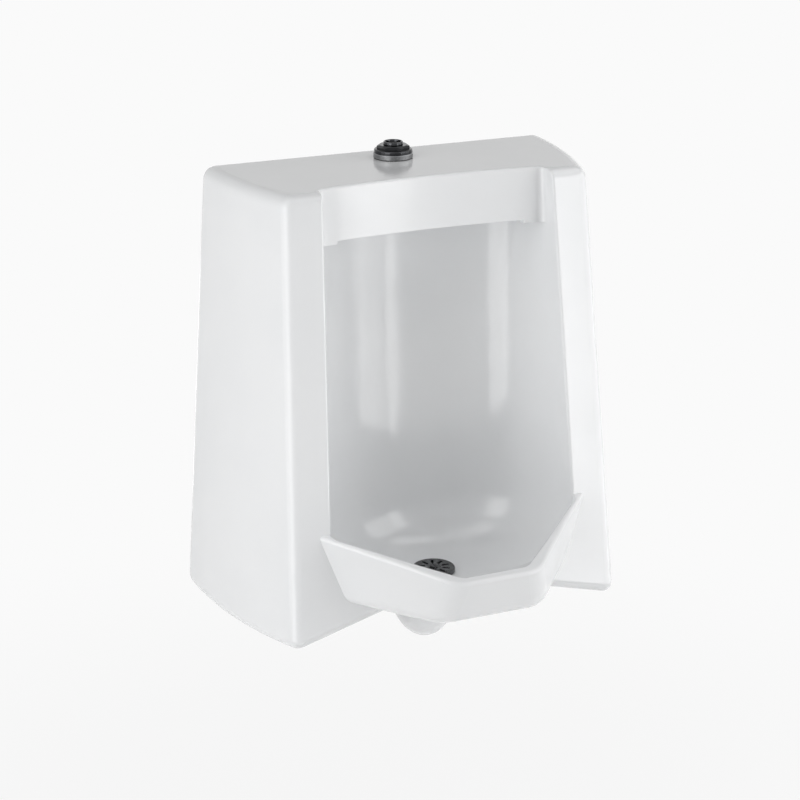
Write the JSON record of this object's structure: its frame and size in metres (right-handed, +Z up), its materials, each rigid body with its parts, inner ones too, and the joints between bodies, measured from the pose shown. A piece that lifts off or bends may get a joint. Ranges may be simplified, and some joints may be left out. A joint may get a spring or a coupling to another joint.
{
  "type": "wall-hung urinal",
  "caption": "Wall-hung washdown urinal in white vitreous china with side shields, extended angular lip, top inlet spud, bowl strainer, rear trap outlet flange and wall hangers.",
  "frame": {"origin": "centre of the hanger screw pattern, on the finished wall", "axes": "+X to the user's right, +Y into the wall, +Z up"},
  "size_m": [0.5144, 0.3561, 0.6069],
  "materials": {
    "china": "gloss glaze",
    "chromed_brass": "polished",
    "dark_chrome": "satin",
    "rubber": "matt",
    "stainless": "brushed",
    "brass": "as machined",
    "cast_iron": "painted casting",
    "galvanised": "zinc coated"
  },
  "bodies": {
    "hangers": {"hanger_left": "galvanised", "hanger_right": "galvanised"},
    "fixture": {"china_body": "china", "spud_tube": "chromed_brass", "spud_seal": "rubber", "spud_pad": "rubber", "strainer_seal": "rubber", "strainer_bar": "brass", "outlet_gasket": "rubber", "outlet_flange": "cast_iron", "flange_bolts": "brass", "flange_washers": "brass", "flange_nuts": "brass"},
    "ring": {"spud_ring": "dark_chrome"},
    "locknut": {"spud_locknut": "chromed_brass"},
    "strainer": {"strainer_plate": "stainless"},
    "screw": {"strainer_screw": "stainless"}
  },
  "joints": [
    {"name": "fixture_lift", "type": "slide", "parent": "hangers", "child": "fixture", "axis": [0, 0, 1], "range_m": [0, 0.014]},
    {"name": "ring_rise", "type": "slide", "parent": "fixture", "child": "ring", "axis": [0, 0, 1], "range_m": [0, 0.00726]},
    {"name": "locknut_turn", "type": "hinge", "parent": "ring", "child": "locknut", "pos_m": [0, -0.054, 0.135], "axis": [0, 0, 1], "range_deg": [0, 1440]},
    {"name": "strainer_lift", "type": "slide", "parent": "fixture", "child": "strainer", "axis": [0, 0, 1], "range_m": [0, 0.06]},
    {"name": "screw_turn", "type": "hinge", "parent": "strainer", "child": "screw", "pos_m": [0, -0.176, -0.356], "axis": [0, 0, 1], "range_deg": [0, 3150]}
  ],
  "couplings": [
    {"joint": "ring_rise", "follows": "locknut_turn", "m_per_rad": 0.00028871}
  ]
}
